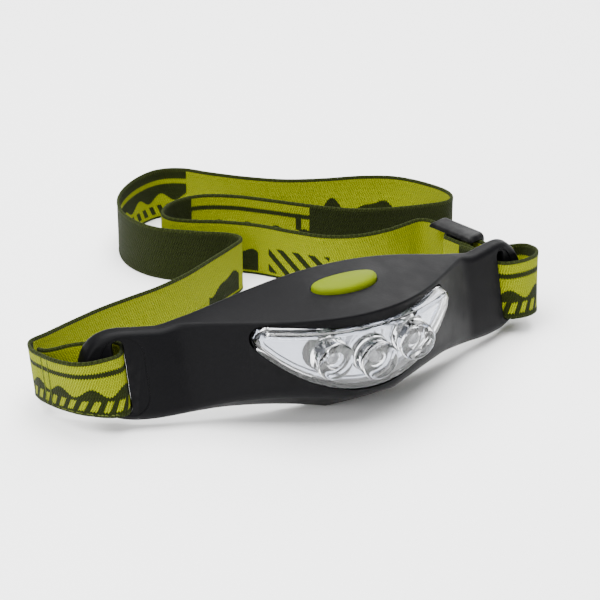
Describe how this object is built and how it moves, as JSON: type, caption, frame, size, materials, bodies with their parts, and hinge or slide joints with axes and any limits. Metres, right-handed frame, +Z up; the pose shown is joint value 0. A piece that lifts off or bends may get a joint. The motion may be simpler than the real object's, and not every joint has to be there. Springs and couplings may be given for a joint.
{
  "type": "headlamp",
  "caption": "Curved headlamp housing with domed lamps behind a clear lens, a push button, cells behind a rear door and a folded elastic headband with a slider.",
  "frame": {"origin": "middle of the object's footprint, on the surface it stands on", "axes": "-Y out of the lens, +Z up, +X to the right as seen from the lens side"},
  "size_m": [0.1834, 0.1784, 0.0434],
  "materials": {
    "housing": "soft-touch moulded plastic, charcoal",
    "cover": "fine-textured black plastic",
    "slider": "moulded acetal, charcoal",
    "button": "lime rubber, satin",
    "lens": "clear moulded acrylic",
    "reflector": "vacuum-metallised tray",
    "led": "clear cast epoxy, phosphor yellow inside",
    "board": "green solder mask",
    "ceramic": "resistor body",
    "steel": "nickel-plated steel",
    "cell": "printed sleeve, dark blue-grey",
    "band": "woven elastic, lime and olive"
  },
  "bodies": {
    "housing": {"front_housing": "housing", "rear_cover": "cover", "cover_screw_1": "steel", "cover_screw_2": "steel", "cover_screw_3": "steel", "cover_screw_4": "steel", "lens": "lens", "reflector_tray": "reflector", "led_left": "led", "led_middle": "led", "led_right": "led", "circuit_board": "board", "switch_board": "board", "tact_switch": "steel", "resistor_1": "ceramic", "resistor_2": "ceramic", "cell_1": "cell", "cell_2": "cell", "battery_cradle": "cover", "contact_plate_1": "steel", "contact_plate_2": "steel", "contact_spring_1": "steel", "contact_spring_2": "steel", "headband": "band"},
    "button": {"push_button": "button", "switch_plunger": "cover"},
    "door": {"battery_door": "cover"},
    "slider": {"slider_buckle": "slider", "strap_end_loop": "band"}
  },
  "joints": [
    {"name": "button_press", "type": "slide", "parent": "housing", "child": "button", "axis": [0, 0.1243, -0.9922], "range_m": [0, 0.0005], "stiffness_N_per_m": 800, "springref_m": -0.0003},
    {"name": "door_off", "type": "slide", "parent": "housing", "child": "door", "axis": [0, 0.9613, -0.2756], "range_m": [0, 0.014]},
    {"name": "slider_along_band", "type": "slide", "parent": "housing", "child": "slider", "axis": [0.29, -0.957, 0], "range_m": [0, 0.0036]}
  ]
}
